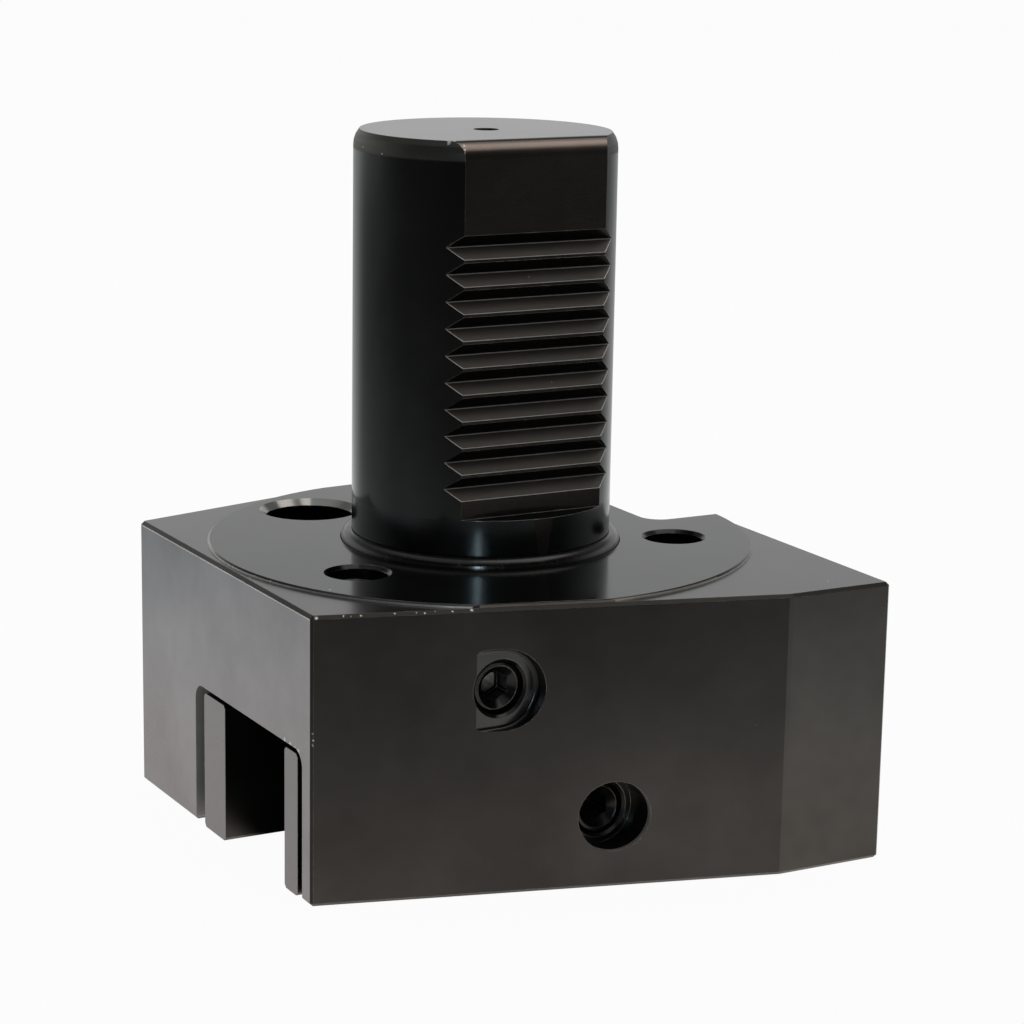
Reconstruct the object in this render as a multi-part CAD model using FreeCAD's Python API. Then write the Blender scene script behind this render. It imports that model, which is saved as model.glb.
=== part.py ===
"""Turret tool holder with a serrated 40 mm cylindrical shank and a square cross slot for a turning tool.

Frame: millimetres, +Z up along the shank axis, origin where that axis meets the turned seating face.
+X runs along the tool slot towards the cutting end, and +Y points to the side of the clamp screws.
The block hangs below the seating face and the shank stands on it.
"""
import FreeCAD
import Part
import math
import os

Vec = FreeCAD.Vector
X_AXIS = Vec(1, 0, 0)
Y_AXIS = Vec(0, 1, 0)
Z_AXIS = Vec(0, 0, 1)

# Shank
shank_dia = 40.0
shank_length = 63.0
shank_lead_height = 2.4
shank_lead_inset = 0.9
shank_lead_steps = 3
centre_hole_dia = 3.9
centre_hole_depth = 4.5
flat_distance = 16.1
flat_start_z = 7.0
flat_top_radius = 2.6

# Serration on the flat
groove_count = 10
groove_pitch = 4.0
groove_first_z = 11.6
groove_crest = 0.45

# Seal ring, whose section centre lies just outside the shank wall, and its recess
seal_section_dia = 3.0
seal_section_sides = 8
seal_outset = 0.15
seal_clearance = 0.1

# Seating disc
disc_dia = 84.4
disc_rise = 0.5
disc_chamfer = 0.3

# Block outline, seen along the shank
block_bottom_z = -43.5
block_left_x = -43.25
block_right_x = 42.5
block_front_y = -49.5
left_face_front_y = -31.2
left_face_back_y = 33.4
side_taper = 15.0
back_bend_x = -14.5
back_corner_y = 45.0
notch_x = 30.0
notch_y = -2.0
notch_radius = 3.0
outline_chamfer = 0.5
upright_chamfer = 0.35

# Tool slot
slot_ceiling_z = -21.2
slot_support_y = -28.25
slot_clamp_y = 11.1
slot_corner_radius = 2.5
slot_mouth_chamfer = 0.6

# Support plate and clamping bar, and the gaps behind them with no tool in the slot
bar_top_gap = 0.75
bar_bottom_gap = 0.15
bar_chamfer = 0.5
support_gap = 1.6
support_thickness = 4.5
clamp_gap = 3.45
clamp_thickness = 8.0

# Set screws: thread size, hexagon key and length of each kind
screw_clearance = 0.1
screw_chamfer = 0.3
socket_depth_share = 0.4
support_screw_x = 0.0
support_screw_dia = 8.0
support_screw_key = 4.0
support_screw_length = 12.0
clamp_screw_dia = 12.0
clamp_screw_key = 6.0
clamp_screw_length = 25.0
clamp_screw_count = 3
clamp_screw_spacing = 24.0
screw_line_height = 10.8
screw_seat_depth = 0.7
screw_seat_margin = 0.6

# Sunk mouths of the screw holes in the side walls
support_sink_dia = 10.6
clamp_sink_dia = 14.0
sink_floor_gap = 0.5
sink_chamfer = 0.4

# Coolant: inlets in the seating face, the galleries that join them, and the closed ends
gallery_dia = 6.0
gallery_z = -12.7
port_x = 27.3
port_y = -13.0
port_bore_dia = 9.0
port_chamfer = 0.55
port_plug_key = 5.0
port_plug_length = 7.0
port_plug_sink = 2.0
inlet_x = -16.4
inlet_y = 27.8
inlet_dia = 14.0
inlet_depth = 18.0
inlet_chamfer = 1.0
front_plug_dia = 8.0
front_plug_key = 4.0
front_plug_length = 8.0
front_plug_sink = 0.7
pocket_radius = 6.1
pocket_run_out = 3.8
pocket_floor_radius = 0.7
jet_dia = 8.0
jet_key = 4.0
jet_length = 8.0
jet_bore_dia = 2.5
jet_sink = 1.0

# Working values: how far cutters reach past a face, and how near counts as touching
past = 1.0
touch = 1e-4

# Values that follow from the sizes above
shank_radius = shank_dia / 2
groove_depth = (groove_pitch - groove_crest) / 2
seal_centre_radius = shank_radius + seal_outset
block_top_z = -disc_rise
slope = math.tan(math.radians(side_taper))
bar_top_z = slot_ceiling_z - bar_top_gap
bar_bottom_z = block_bottom_z + bar_bottom_gap
screw_line_z = block_bottom_z + screw_line_height
support_back_y = slot_support_y + support_gap
support_face_y = support_back_y + support_thickness
support_screw_end_y = support_back_y + screw_seat_depth - support_screw_length
clamp_back_y = slot_clamp_y - clamp_gap
clamp_face_y = clamp_back_y - clamp_thickness
clamp_screw_end_y = clamp_back_y - screw_seat_depth + clamp_screw_length


def front_face_y(x):
    """Height along Y of the tapered front face at x."""
    return left_face_front_y - (x - block_left_x) * slope


def pocket_floor_y():
    """Height along Y of the front pocket's floor, which meets the tapered face at its run-out."""
    return front_face_y(inlet_x - pocket_run_out)


def clamp_screw_places():
    """X of each clamp screw, spread evenly about the middle of the clamping bar."""
    middle = (block_left_x + notch_x) / 2
    first = middle - (clamp_screw_count - 1) * clamp_screw_spacing / 2
    return [first + i * clamp_screw_spacing for i in range(clamp_screw_count)]


def box_between(low, high):
    """Box from its lowest to its highest corner."""
    size = [b - a for a, b in zip(low, high)]
    return Part.makeBox(size[0], size[1], size[2], Vec(*low))


def rod(diameter, start, end):
    """Round bar or drill between two points."""
    path = Vec(*end) - Vec(*start)
    return Part.makeCylinder(diameter / 2, path.Length, Vec(*start), path)


def countersink(diameter, depth, mouth, inward):
    """Conical 45 degree chamfer at the mouth of a hole, with a short lip outside the face."""
    direction = Vec(*inward)
    lip = 0.2
    start = Vec(*mouth) - direction * lip
    outer = diameter / 2 + depth + lip
    return Part.makeCone(outer, diameter / 2, depth + lip, start, direction)


def chamfer_where(solid, size, keep):
    """Chamfer the edges that keep(edge) accepts."""
    edges = [edge for edge in solid.Edges if keep(edge)]
    return solid.makeChamfer(size, edges)


def lies_at_z(edge, z):
    """Tell whether a whole edge lies at one height."""
    box = edge.BoundBox
    return abs(box.ZMin - z) < touch and abs(box.ZMax - z) < touch


def lies_at_y(edge, y):
    """Tell whether a whole edge lies at one depth."""
    box = edge.BoundBox
    return abs(box.YMin - y) < touch and abs(box.YMax - y) < touch


def is_upright(edge):
    """Tell whether an edge runs along Z."""
    box = edge.BoundBox
    return box.XLength < 2 * touch and box.YLength < 2 * touch and box.ZLength > touch


def runs_along_x(edge):
    """Tell whether an edge has a length along X."""
    return edge.BoundBox.XLength > past


def block_outline():
    """Closed wire of the block seen along the shank, at z = 0, with the notch corner rounded."""
    bend_y = left_face_back_y + (back_bend_x - block_left_x) * slope
    front_bend_x = block_left_x + (left_face_front_y - block_front_y) / slope
    corner = [
        Vec(block_left_x, left_face_front_y, 0),
        Vec(front_bend_x, block_front_y, 0),
        Vec(block_right_x, block_front_y, 0),
        Vec(block_right_x, notch_y, 0),
    ]
    run_in = Vec(notch_x + notch_radius, notch_y, 0)
    run_out = Vec(notch_x, notch_y + notch_radius, 0)
    middle = run_in + (run_out - run_in) * 0.5
    centre = Vec(notch_x + notch_radius, notch_y + notch_radius, 0)
    arc_middle = centre + (middle - centre).normalize() * notch_radius
    rest = [
        Vec(notch_x, back_corner_y, 0),
        Vec(back_bend_x, bend_y, 0),
        Vec(block_left_x, left_face_back_y, 0),
        corner[0],
    ]
    edges = [Part.makeLine(a, b) for a, b in zip(corner, corner[1:])]
    edges.append(Part.makeLine(corner[-1], run_in))
    edges.append(Part.Arc(run_in, arc_middle, run_out).toShape())
    edges.append(Part.makeLine(run_out, rest[0]))
    edges += [Part.makeLine(a, b) for a, b in zip(rest, rest[1:])]
    return Part.Wire(edges)


def near_notch(edge):
    """Tell whether an upright edge bounds the rounded notch corner."""
    point = edge.Vertexes[0].Point
    reach = notch_radius + past
    return abs(point.x - notch_x) < reach and abs(point.y - notch_y) < reach


def raw_block():
    """Milled block with its upright edges and both outlines chamfered."""
    face = Part.Face(block_outline())
    face.translate(Vec(0, 0, block_bottom_z))
    solid = face.extrude(Vec(0, 0, block_top_z - block_bottom_z))
    solid = chamfer_where(solid, upright_chamfer, lambda e: is_upright(e) and not near_notch(e))
    return chamfer_where(solid, outline_chamfer,
                         lambda e: lies_at_z(e, block_top_z) or lies_at_z(e, block_bottom_z))


def seating_disc():
    """Turned disc that stands proud of the block and is cut off where the block ends."""
    foot_z = block_top_z - past
    disc = Part.makeCylinder(disc_dia / 2, -foot_z, Vec(0, 0, foot_z))
    disc = chamfer_where(disc, disc_chamfer, lambda e: lies_at_z(e, 0.0))
    limit = Part.Face(block_outline()).makeOffset2D(-outline_chamfer)
    limit.translate(Vec(0, 0, foot_z))
    return disc.common(limit.extrude(Vec(0, 0, past - foot_z)))


def turned(radius, low_z, high_z):
    """Cylinder about the shank's axis between two heights."""
    return Part.makeCylinder(radius, high_z - low_z, Vec(0, 0, low_z))


def lead_in():
    """Bowed upper end of the shank, which leaves the wall smoothly, as short cones along an arc."""
    bow = (shank_lead_height ** 2 + shank_lead_inset ** 2) / (2 * shank_lead_inset)
    lead_z = shank_length - shank_lead_height
    rises = [shank_lead_height * i / shank_lead_steps for i in range(shank_lead_steps + 1)]
    radii = [shank_radius - bow + math.sqrt(bow ** 2 - rise ** 2) for rise in rises]
    cones = [
        Part.makeCone(radii[i], radii[i + 1], rises[i + 1] - rises[i], Vec(0, 0, lead_z + rises[i]))
        for i in range(shank_lead_steps)
    ]
    return cones[0].fuse(cones[1:])


def clamped_stretch():
    """Turned upper stretch of the shank with its lead-in, above the ledge where the flat begins."""
    return turned(shank_radius, flat_start_z, shank_length - shank_lead_height).fuse(lead_in())


def flat_cutter():
    """Everything in front of the flat, with the rounded edge where the flat meets the top."""
    top = shank_length + past
    front_y = -shank_radius - past
    radius = flat_top_radius
    turn = radius * math.sqrt(0.5)
    centre_y = -flat_distance + radius
    centre_z = shank_length - radius
    arc = Part.Arc(
        Vec(-shank_dia, -flat_distance, centre_z),
        Vec(-shank_dia, centre_y - turn, centre_z + turn),
        Vec(-shank_dia, centre_y, shank_length),
    ).toShape()
    outside = Part.makePolygon([
        Vec(-shank_dia, centre_y, shank_length),
        Vec(-shank_dia, centre_y, top),
        Vec(-shank_dia, front_y, top),
        Vec(-shank_dia, front_y, flat_start_z),
        Vec(-shank_dia, -flat_distance, flat_start_z),
        Vec(-shank_dia, -flat_distance, centre_z),
    ])
    return Part.Face(Part.Wire([arc] + outside.Edges)).extrude(Vec(2 * shank_dia, 0, 0))


def groove_cutter(z):
    """One 90 degree groove across the flat, with its root at height z."""
    root_y = -flat_distance + groove_depth
    reach = groove_depth + groove_crest / 4
    profile = Part.makePolygon([
        Vec(-shank_radius, root_y, z),
        Vec(-shank_radius, root_y - reach, z + reach),
        Vec(-shank_radius, root_y - reach, z - reach),
        Vec(-shank_radius, root_y, z),
    ])
    return Part.Face(profile).extrude(Vec(shank_dia, 0, 0))


def serrated_shank():
    """Full round stretch at the foot, and above it the flat, its grooves and the centre hole."""
    floor_z = shank_length - centre_hole_depth
    point_height = centre_hole_dia / 2
    hole = rod(centre_hole_dia, (0, 0, floor_z), (0, 0, shank_length + past))
    point = Part.makeCone(0, centre_hole_dia / 2, point_height, Vec(0, 0, floor_z - point_height), Z_AXIS)
    grooves = [groove_cutter(groove_first_z + i * groove_pitch) for i in range(groove_count)]
    upper = clamped_stretch().cut(flat_cutter()).cut(grooves + [hole, point])
    foot = turned(shank_radius, -seal_section_dia, flat_start_z)
    return foot.fuse(upper)


def seal_recess():
    """Turned recess in the corner between shank and seating face, half in each."""
    reach = seal_section_dia / 2 + seal_clearance
    outside = turned(seal_centre_radius + reach, -reach, reach)
    return outside.cut(turned(seal_centre_radius - reach, -reach, reach))


def slot_mouth_cutter(wall_y, side):
    """Three-cornered strip that breaks the lower edge of one slot wall."""
    size = slot_mouth_chamfer
    start_x = block_left_x - past
    corner = Vec(start_x, wall_y - side * size, block_bottom_z - size)
    across = corner + Y_AXIS * 3 * side * size
    upward = corner + Z_AXIS * 3 * size
    profile = Part.makePolygon([corner, across, upward, corner])
    return Part.Face(profile).extrude(X_AXIS * (block_right_x + past - start_x))


def slot_cutter():
    """Tool slot along X, open at the bottom, with rounded corners under its ceiling."""
    low = (block_left_x - past, slot_support_y, block_bottom_z - past)
    high = (block_right_x + past, slot_clamp_y, slot_ceiling_z)
    slot = box_between(low, high)
    corners = [e for e in slot.Edges if lies_at_z(e, slot_ceiling_z) and runs_along_x(e)]
    slot = slot.makeFillet(slot_corner_radius, corners)
    return slot.fuse([slot_mouth_cutter(slot_support_y, -1), slot_mouth_cutter(slot_clamp_y, 1)])


def side_screw_hole(x, diameter, sink_diameter, wall_y, end_y, outside_y):
    """Threaded hole along Y from the slot wall, with a sunk and chamfered mouth past the screw's end."""
    outward = math.copysign(1.0, end_y - wall_y)
    floor_y = end_y + outward * sink_floor_gap
    start_y = wall_y - outward * past
    thread = rod(diameter, (x, start_y, screw_line_z), (x, floor_y + outward * past, screw_line_z))
    sink = rod(sink_diameter, (x, floor_y, screw_line_z), (x, outside_y, screw_line_z))
    mouth = countersink(diameter, sink_chamfer, (x, floor_y, screw_line_z), (0, -outward, 0))
    return thread.fuse([sink, mouth])


def support_screw_hole():
    """Hole of the screw in the front wall."""
    return side_screw_hole(support_screw_x, support_screw_dia, support_sink_dia, slot_support_y,
                           support_screw_end_y, block_front_y - past)


def clamp_screw_hole(x):
    """Hole of one screw in the back wall, sunk so that equal screws lie equally deep."""
    return side_screw_hole(x, clamp_screw_dia, clamp_sink_dia, slot_clamp_y, clamp_screw_end_y,
                           back_corner_y + past)


def front_pocket():
    """Milled pocket around the front plug, which runs out of the tapered face on one side.

    Its floor is rounded into its wall, as a cutter with rounded corners leaves it.
    """
    floor_y = pocket_floor_y()
    outside_y = block_front_y - past
    round_end = rod(2 * pocket_radius, (inlet_x, floor_y, gallery_z), (inlet_x, outside_y, gallery_z))
    low = (inlet_x - 2 * pocket_radius, outside_y, gallery_z - pocket_radius)
    high = (inlet_x, floor_y, gallery_z + pocket_radius)
    pocket = round_end.fuse(box_between(low, high)).removeSplitter()
    floor_edges = [edge for edge in pocket.Edges if lies_at_y(edge, floor_y)]
    return pocket.makeFillet(pocket_floor_radius, floor_edges)


def gallery_cutters():
    """Coolant drillings: one along Y from the front plug to the inlet, one along X to the jet."""
    floor_y = pocket_floor_y()
    along_y = rod(gallery_dia, (inlet_x, floor_y, gallery_z), (inlet_x, inlet_y, gallery_z))
    along_x = rod(gallery_dia, (-port_x, port_y, gallery_z), (block_right_x, port_y, gallery_z))
    thread_end_y = floor_y + front_plug_sink + front_plug_length + past
    plug_thread = rod(front_plug_dia, (inlet_x, thread_end_y, gallery_z),
                      (inlet_x, floor_y - past, gallery_z))
    plug_mouth = countersink(front_plug_dia, sink_chamfer, (inlet_x, floor_y, gallery_z), (0, 1, 0))
    thread_end_x = block_right_x - jet_sink - jet_length - past
    jet_thread = rod(jet_dia, (block_right_x + past, port_y, gallery_z), (thread_end_x, port_y, gallery_z))
    jet_mouth = countersink(jet_dia, sink_chamfer, (block_right_x, port_y, gallery_z), (-1, 0, 0))
    return [along_y, along_x, plug_thread, plug_mouth, jet_thread, jet_mouth]


def port_cutters(x):
    """Coolant port of the seating face, down to the gallery, with a chamfered mouth."""
    bore_end_z = -port_plug_sink - port_plug_length - past
    bore = rod(port_bore_dia, (x, port_y, past), (x, port_y, bore_end_z))
    drill = rod(gallery_dia, (x, port_y, 0), (x, port_y, gallery_z))
    return [bore, drill, countersink(port_bore_dia, port_chamfer, (x, port_y, 0), (0, 0, -1))]


def inlet_cutters():
    """Large flat-bottomed inlet of the seating face, with its chamfered mouth."""
    bore = rod(inlet_dia, (inlet_x, inlet_y, past), (inlet_x, inlet_y, -inlet_depth))
    return [bore, countersink(inlet_dia, inlet_chamfer, (inlet_x, inlet_y, 0), (0, 0, -1))]


def holder_body():
    """One-piece steel body: block, seating disc and shank with all their holes."""
    cutters = [slot_cutter(), support_screw_hole(), front_pocket()]
    cutters += [clamp_screw_hole(x) for x in clamp_screw_places()]
    cutters += gallery_cutters() + inlet_cutters()
    cutters += port_cutters(port_x) + port_cutters(-port_x)
    block = raw_block().fuse(seating_disc()).cut(cutters).removeSplitter()
    return block.fuse(serrated_shank()).cut(seal_recess())


def shank_seal():
    """Rubber ring in the corner between shank and seating face, its round section in short flats."""
    radius = seal_section_dia / 2
    angles = [2 * math.pi * (i + 0.5) / seal_section_sides for i in range(seal_section_sides + 1)]
    points = [Vec(seal_centre_radius + radius * math.cos(a), 0, radius * math.sin(a)) for a in angles]
    return Part.Face(Part.makePolygon(points)).revolve(Vec(0, 0, 0), Z_AXIS, 360)


def slot_bar(low_y, high_y, end_x):
    """Flat bar in the tool slot, flush with the left face, with its long edges broken."""
    bar = box_between((block_left_x, low_y, bar_bottom_z), (end_x, high_y, bar_top_z))
    return chamfer_where(bar, bar_chamfer, runs_along_x)


def screw_seat(diameter, x, face_y, inward):
    """Shallow round seat that a screw tip stands in."""
    start = (x, face_y - inward * past, screw_line_z)
    end = (x, face_y + inward * screw_seat_depth, screw_line_z)
    return rod(diameter + screw_seat_margin, start, end)


def support_plate():
    """Plate that the tool rests on, with the seat of its adjusting screw."""
    plate = slot_bar(support_back_y, support_face_y, block_right_x)
    return plate.cut(screw_seat(support_screw_dia, support_screw_x, support_back_y, 1))


def clamping_bar():
    """Bar that presses on the tool, with the seats of the clamp screws."""
    bar = slot_bar(clamp_face_y, clamp_back_y, notch_x)
    seats = [screw_seat(clamp_screw_dia, x, clamp_back_y, -1) for x in clamp_screw_places()]
    return bar.cut(seats)


def hexagon(key, depth):
    """Hexagonal prism across-flats key, from z = 0 down to -depth."""
    radius = key / math.sqrt(3)
    angles = [math.radians(60 * i) for i in range(7)]
    points = [Vec(radius * math.cos(a), radius * math.sin(a), 0) for a in angles]
    return Part.Face(Part.makePolygon(points)).extrude(Vec(0, 0, -depth))


def set_screw(diameter, key, length, bore=0.0):
    """Headless hexagon-socket screw with its driven end at the origin and its tip at -length."""
    body = Part.makeCylinder(diameter / 2 - screw_clearance, length, Vec(0, 0, -length))
    body = chamfer_where(body, screw_chamfer, lambda e: lies_at_z(e, 0.0) or lies_at_z(e, -length))
    screw = body.cut(hexagon(key, length * socket_depth_share))
    if bore > 0:
        screw = screw.cut(rod(bore, (0, 0, past), (0, 0, -length - past)))
    return screw


def placed(shape, position, outward):
    """Move a screw so that its driven end is at position and looks along outward."""
    turn = FreeCAD.Rotation(Z_AXIS, Vec(*outward))
    moved = shape.copy()
    moved.Placement = FreeCAD.Placement(Vec(*position), turn)
    return moved


def support_screw():
    """Screw in the front wall that sets the support plate."""
    screw = set_screw(support_screw_dia, support_screw_key, support_screw_length)
    return placed(screw, (support_screw_x, support_screw_end_y, screw_line_z), (0, -1, 0))


def clamp_screw(x):
    """Screw in the back wall that drives the clamping bar."""
    screw = set_screw(clamp_screw_dia, clamp_screw_key, clamp_screw_length)
    return placed(screw, (x, clamp_screw_end_y, screw_line_z), (0, 1, 0))


def front_plug():
    """Screw that closes the coolant gallery at the front face."""
    screw = set_screw(front_plug_dia, front_plug_key, front_plug_length)
    return placed(screw, (inlet_x, pocket_floor_y() + front_plug_sink, gallery_z), (0, -1, 0))


def port_plug():
    """Screw that closes the coolant port on the side away from the cutting end."""
    screw = set_screw(port_bore_dia, port_plug_key, port_plug_length)
    return placed(screw, (-port_x, port_y, -port_plug_sink), (0, 0, 1))


def coolant_jet():
    """Drilled screw in the right face that throws the coolant at the cutting edge."""
    screw = set_screw(jet_dia, jet_key, jet_length, jet_bore_dia)
    return placed(screw, (block_right_x - jet_sink, port_y, gallery_z), (1, 0, 0))


def all_nodes():
    """Name and solid of each separate piece."""
    nodes = {
        "holder_body": holder_body(),
        "shank_seal": shank_seal(),
        "support_plate": support_plate(),
        "support_screw": support_screw(),
        "clamping_bar": clamping_bar(),
        "front_plug": front_plug(),
        "port_plug": port_plug(),
        "coolant_jet": coolant_jet(),
    }
    for number, x in enumerate(clamp_screw_places(), start=1):
        nodes[f"clamp_screw_{number}"] = clamp_screw(x)
    return nodes


os.makedirs("parts", exist_ok=True)
for name, shape in all_nodes().items():
    shape.exportStep(f"parts/{name}.step")
    box = shape.BoundBox
    print(name, len(shape.Solids), "solid", shape.isValid(), round(shape.Volume, 1), "mm3",
          [round(v, 2) for v in (box.XMin, box.YMin, box.ZMin, box.XMax, box.YMax, box.ZMax)])
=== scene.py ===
"""Looks of a turret tool holder in blackened steel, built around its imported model.

The block, the disc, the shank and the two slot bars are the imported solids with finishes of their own. The seal
ring and the seven set screws are modelled here in full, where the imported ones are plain.
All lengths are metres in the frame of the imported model: +Z up the shank, +X along the tool slot.
"""
import logging
import math
from collections.abc import Callable, Mapping, Sequence
from dataclasses import dataclass, field
from enum import Enum
from typing import Any

import bmesh
import bpy
from mathutils import Matrix, Vector


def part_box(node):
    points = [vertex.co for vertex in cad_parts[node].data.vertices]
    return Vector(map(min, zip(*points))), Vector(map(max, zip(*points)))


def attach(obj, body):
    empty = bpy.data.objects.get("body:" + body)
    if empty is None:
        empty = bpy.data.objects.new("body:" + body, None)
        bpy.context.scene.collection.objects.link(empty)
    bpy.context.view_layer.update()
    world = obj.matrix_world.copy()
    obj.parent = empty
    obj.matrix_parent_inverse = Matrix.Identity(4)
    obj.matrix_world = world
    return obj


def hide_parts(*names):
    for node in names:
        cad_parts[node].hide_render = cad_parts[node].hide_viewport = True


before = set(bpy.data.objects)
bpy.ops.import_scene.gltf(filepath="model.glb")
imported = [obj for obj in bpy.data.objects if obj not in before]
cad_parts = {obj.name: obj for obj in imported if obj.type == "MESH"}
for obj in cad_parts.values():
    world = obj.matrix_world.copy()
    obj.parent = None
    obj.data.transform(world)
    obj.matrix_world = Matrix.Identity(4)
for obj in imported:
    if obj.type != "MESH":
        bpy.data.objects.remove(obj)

MM = 0.001
EDGE_RADIUS = 0.12 * MM
Triple = tuple[float, float, float]
Span = tuple[float, float]
BARE_STEEL: Triple = (0.80, 0.79, 0.76)
log = logging.getLogger("tool_holder")


class Value:
    """A number that a shader socket carries, so that shader maths reads as Python arithmetic."""

    def __init__(self, graph: "Graph", socket: bpy.types.NodeSocket) -> None:
        """Keep the socket and the graph that it belongs to."""
        self.graph = graph
        self.socket = socket

    def __add__(self, other: "Number") -> "Value":
        """Sum of two values."""
        return self.graph.math("ADD", self, other)

    def __radd__(self, other: "Number") -> "Value":
        """Sum of a number and this value."""
        return self.graph.math("ADD", other, self)

    def __sub__(self, other: "Number") -> "Value":
        """Difference of two values."""
        return self.graph.math("SUBTRACT", self, other)

    def __rsub__(self, other: "Number") -> "Value":
        """A number less this value."""
        return self.graph.math("SUBTRACT", other, self)

    def __mul__(self, other: "Number") -> "Value":
        """Product of two values."""
        return self.graph.math("MULTIPLY", self, other)

    def __rmul__(self, other: "Number") -> "Value":
        """Product of a number and this value."""
        return self.graph.math("MULTIPLY", other, self)

    def __truediv__(self, other: "Number") -> "Value":
        """This value divided by another."""
        return self.graph.math("DIVIDE", self, other)

    def __rtruediv__(self, other: "Number") -> "Value":
        """A number divided by this value."""
        return self.graph.math("DIVIDE", other, self)

    def __gt__(self, other: "Number") -> "Value":
        """1 where this value is the larger, else 0."""
        return self.graph.math("GREATER_THAN", self, other)

    def __lt__(self, other: "Number") -> "Value":
        """1 where this value is the smaller, else 0."""
        return self.graph.math("LESS_THAN", self, other)

    def __abs__(self) -> "Value":
        """Size of this value without its sign."""
        return self.graph.math("ABSOLUTE", self)

    def root(self) -> "Value":
        """Square root."""
        return self.graph.math("SQRT", self)

    def at_most(self, other: "Number") -> "Value":
        """The smaller of two values."""
        return self.graph.math("MINIMUM", self, other)

    def at_least(self, other: "Number") -> "Value":
        """The larger of two values."""
        return self.graph.math("MAXIMUM", self, other)

    def within(self, span: Span) -> "Value":
        """1 between two bounds, else 0."""
        return (self > span[0]) * (self < span[1])

    def rise(self, low: float, high: float) -> "Value":
        """Smooth step from 0 at low to 1 at high, or from 1 down to 0 where low is the larger."""
        settings = {"interpolation_type": "SMOOTHSTEP"}
        ends = {"Value": self, "From Min": min(low, high), "From Max": max(low, high)}
        levels = {"To Min": float(low > high), "To Max": float(high > low)}
        return self.graph.value("ShaderNodeMapRange", settings, ends | levels, "Result")


Number = Value | float


class Graph:
    """Node tree of one material or world, with short ways to add to it."""

    def __init__(self, tree: bpy.types.NodeTree) -> None:
        """Start from an empty tree."""
        self.tree = tree
        tree.nodes.clear()

    def add(
        self,
        kind: str,
        settings: Mapping[str, Any] | None = None,
        inputs: Mapping[str | int, Any] | None = None,
    ) -> bpy.types.Node:
        """Add a node.

        Args:
            kind: The node's type.
            settings: Its own properties, set before its sockets. "stops" holds a ramp's (position, colour) pairs.
            inputs: A value or a link for each named or numbered input socket.

        Returns:
            The new node.
        """
        node = self.tree.nodes.new(kind)
        for name, setting in (settings or {}).items():
            if name == "stops":
                self._set_stops(node, setting)
            else:
                setattr(node, name, setting)
        for name, given in (inputs or {}).items():
            if isinstance(given, Value):
                given = given.socket
            if isinstance(given, bpy.types.NodeSocket):
                self.tree.links.new(given, node.inputs[name])
            else:
                node.inputs[name].default_value = given
        return node

    @staticmethod
    def _set_stops(node: bpy.types.Node, stops: Sequence[tuple[float, Triple]]) -> None:
        """Give a colour ramp its stops."""
        elements = node.color_ramp.elements
        while len(elements) < len(stops):
            elements.new(1.0)
        for element, (position, colour) in zip(elements, stops):
            element.position = position
            element.color = (*colour, 1.0)

    def value(
        self, kind: str, settings: Mapping[str, Any], inputs: Mapping[str | int, Any], output: str | int = 0
    ) -> Value:
        """Add a node and return one of its outputs as a value."""
        return Value(self, self.add(kind, settings, inputs).outputs[output])

    def math(self, operation: str, *terms: Number) -> Value:
        """Add a Math node over one or two terms."""
        return self.value("ShaderNodeMath", {"operation": operation}, dict(enumerate(terms)))

    def parts(self, vector: bpy.types.NodeSocket) -> tuple[Value, Value, Value]:
        """X, Y and Z of a vector."""
        node = self.add("ShaderNodeSeparateXYZ", inputs={0: vector})
        return tuple(Value(self, output) for output in node.outputs)

    def vector(self, x: Number, y: Number, z: Number) -> bpy.types.NodeSocket:
        """Vector from three values."""
        return self.add("ShaderNodeCombineXYZ", inputs={0: x, 1: y, 2: z}).outputs[0]

    def noise(self, place: bpy.types.NodeSocket, scale: float, detail: float = 2.0, rough: float = 0.5) -> Value:
        """Fractal noise from 0 to 1 around 0.5 at a place."""
        inputs = {"Vector": place, "Scale": scale, "Detail": detail, "Roughness": rough}
        return self.value("ShaderNodeTexNoise", {}, inputs, "Fac")

    def blend(self, share: Number, first: Any, second: Any) -> bpy.types.NodeSocket:
        """Mix two colours by a share from 0 to 1."""
        colours = [(*c, 1.0) if isinstance(c, tuple) else c for c in (first, second)]
        inputs = {"Factor": share, 6: colours[0], 7: colours[1]}
        return self.add("ShaderNodeMix", {"data_type": "RGBA"}, inputs).outputs[2]


def new_material(name: str) -> tuple[bpy.types.Material, Graph]:
    """Empty node material and its graph."""
    material = bpy.data.materials.new(name)
    material.use_nodes = True
    return material, Graph(material.node_tree)


def millimetres(graph: Graph) -> bpy.types.NodeSocket:
    """Object coordinates in millimetres."""
    place = graph.add("ShaderNodeTexCoord").outputs["Object"]
    return graph.add("ShaderNodeVectorMath", {"operation": "SCALE"}, {0: place, "Scale": 1 / MM}).outputs[0]


@dataclass(frozen=True)
class Patch:
    """Blackened look of one kind of surface, or of a zone where light or shade is painted: its tone, its gloss and
    how much steel shows through the black.
    """

    tint: Triple
    roughness: float
    steel: float


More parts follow.
